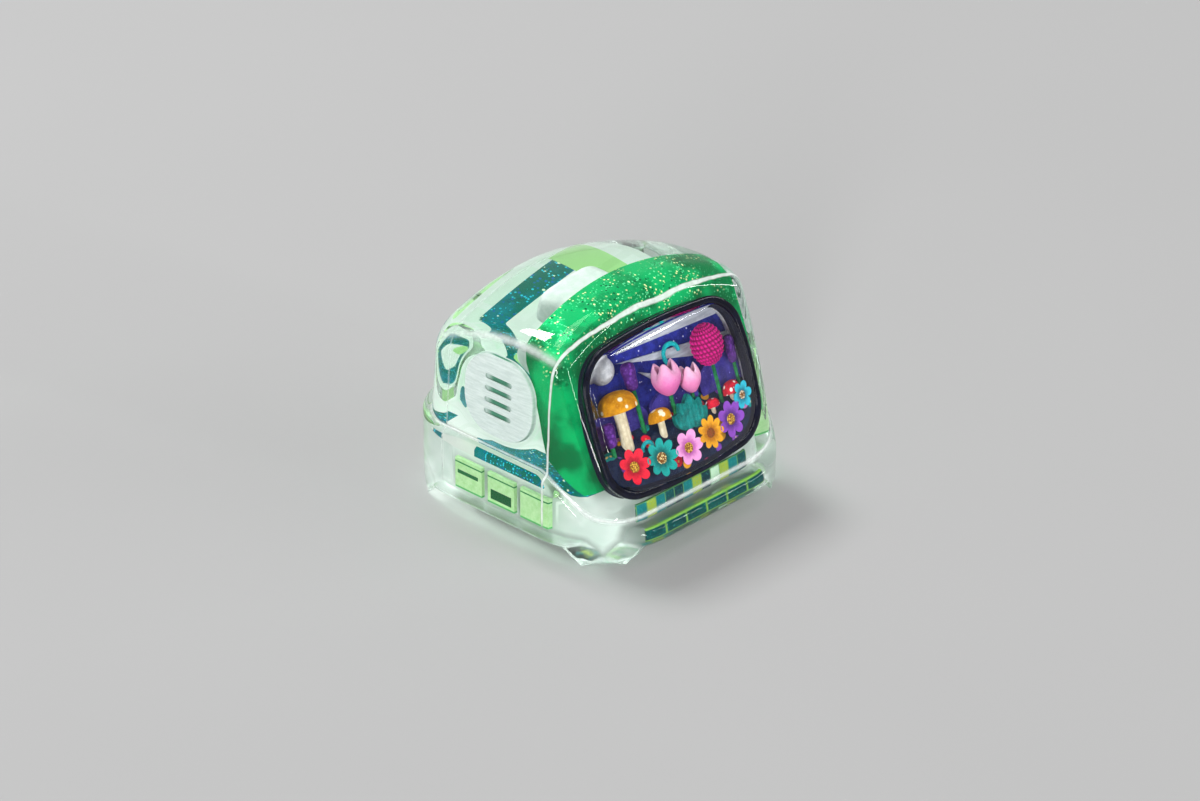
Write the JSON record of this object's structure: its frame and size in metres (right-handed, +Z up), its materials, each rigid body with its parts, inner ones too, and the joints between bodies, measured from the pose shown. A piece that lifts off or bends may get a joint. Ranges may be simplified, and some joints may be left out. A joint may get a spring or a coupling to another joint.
{
  "type": "artisan keycap",
  "caption": "Clear resin keycap shaped like a small old television, with a domed screen window over a planted scene, round side speakers and a cross stem socket below.",
  "frame": {"origin": "middle of the base at the level of the feet", "axes": "+Z up, the screen faces -Y, +X to the right as the screen is looked at"},
  "size_m": [0.018, 0.018, 0.0145],
  "materials": {
    "clear_resin": "clear cast resin, polished",
    "window_resin": "clear cast resin, polished dome",
    "emerald_glitter": "emerald resin with gold and green glitter",
    "white_resin": "opaque white resin",
    "dark_bezel": "smooth navy black",
    "white_disc": "satin white",
    "lime_resin": "lime green resin",
    "lime_block": "lime resin with dark green bars",
    "teal_block": "teal resin with lime edges",
    "teal_glitter": "teal resin with cyan glitter",
    "ground_paint": "satin navy paint",
    "night_sky": "satin blue paint",
    "teal_leaf": "satin teal paint",
    "silver_moon": "silver paint",
    "mustard_cap": "satin mustard paint",
    "cream_stem": "satin cream paint",
    "red_cap": "satin red paint",
    "magenta_flower": "rough magenta paint",
    "green_stem": "satin green paint",
    "pink_flower": "satin pink paint",
    "purple_flower": "satin purple paint",
    "brown_cattail": "rough brown paint",
    "turquoise_tendril": "satin turquoise paint",
    "grey_pebble": "satin grey paint",
    "violet_hill": "satin violet paint",
    "pale_beam": "silver grey paint"
  },
  "bodies": {
    "root": {"agave": "teal_leaf", "base_blocks": "lime_block", "cattail_1": "brown_cattail", "cattail_stem_1": "green_stem", "clear_body": "clear_resin", "floor_tiles": "teal_glitter", "flower_spike_1": "purple_flower", "flower_spike_2": "purple_flower", "flower_spike_3": "purple_flower", "green_arch": "emerald_glitter", "ground_panel": "ground_paint", "hill_1": "violet_hill", "hill_2": "violet_hill", "hill_3": "violet_hill", "light_beam_1": "pale_beam", "light_beam_2": "pale_beam", "light_beam_3": "pale_beam", "lip_blocks": "teal_block", "moon": "silver_moon", "mushroom_cap_1": "mustard_cap", "mushroom_cap_2": "mustard_cap", "mushroom_stem_1": "cream_stem", "mushroom_stem_2": "cream_stem", "pebble_1": "grey_pebble", "pebble_2": "grey_pebble", "pebble_3": "grey_pebble", "pebble_4": "grey_pebble", "pebble_5": "grey_pebble", "pom_flower_1": "magenta_flower", "pom_stem_1": "green_stem", "screen_bezel": "dark_bezel", "screen_cup": "white_resin", "screen_lens": "window_resin", "sky_panel": "night_sky", "speaker_left": "white_disc", "speaker_right": "white_disc", "spike_stem_1": "green_stem", "spike_stem_2": "green_stem", "spike_stem_3": "green_stem", "stem_plate": "lime_resin", "tendril_1": "turquoise_tendril", "tendril_2": "turquoise_tendril", "toadstool_cap_1": "red_cap", "toadstool_cap_2": "red_cap", "toadstool_stem_1": "cream_stem", "toadstool_stem_2": "cream_stem", "tulip_1": "pink_flower", "tulip_2": "pink_flower", "tulip_stem_1": "green_stem", "tulip_stem_2": "green_stem"}
  },
  "joints": []
}
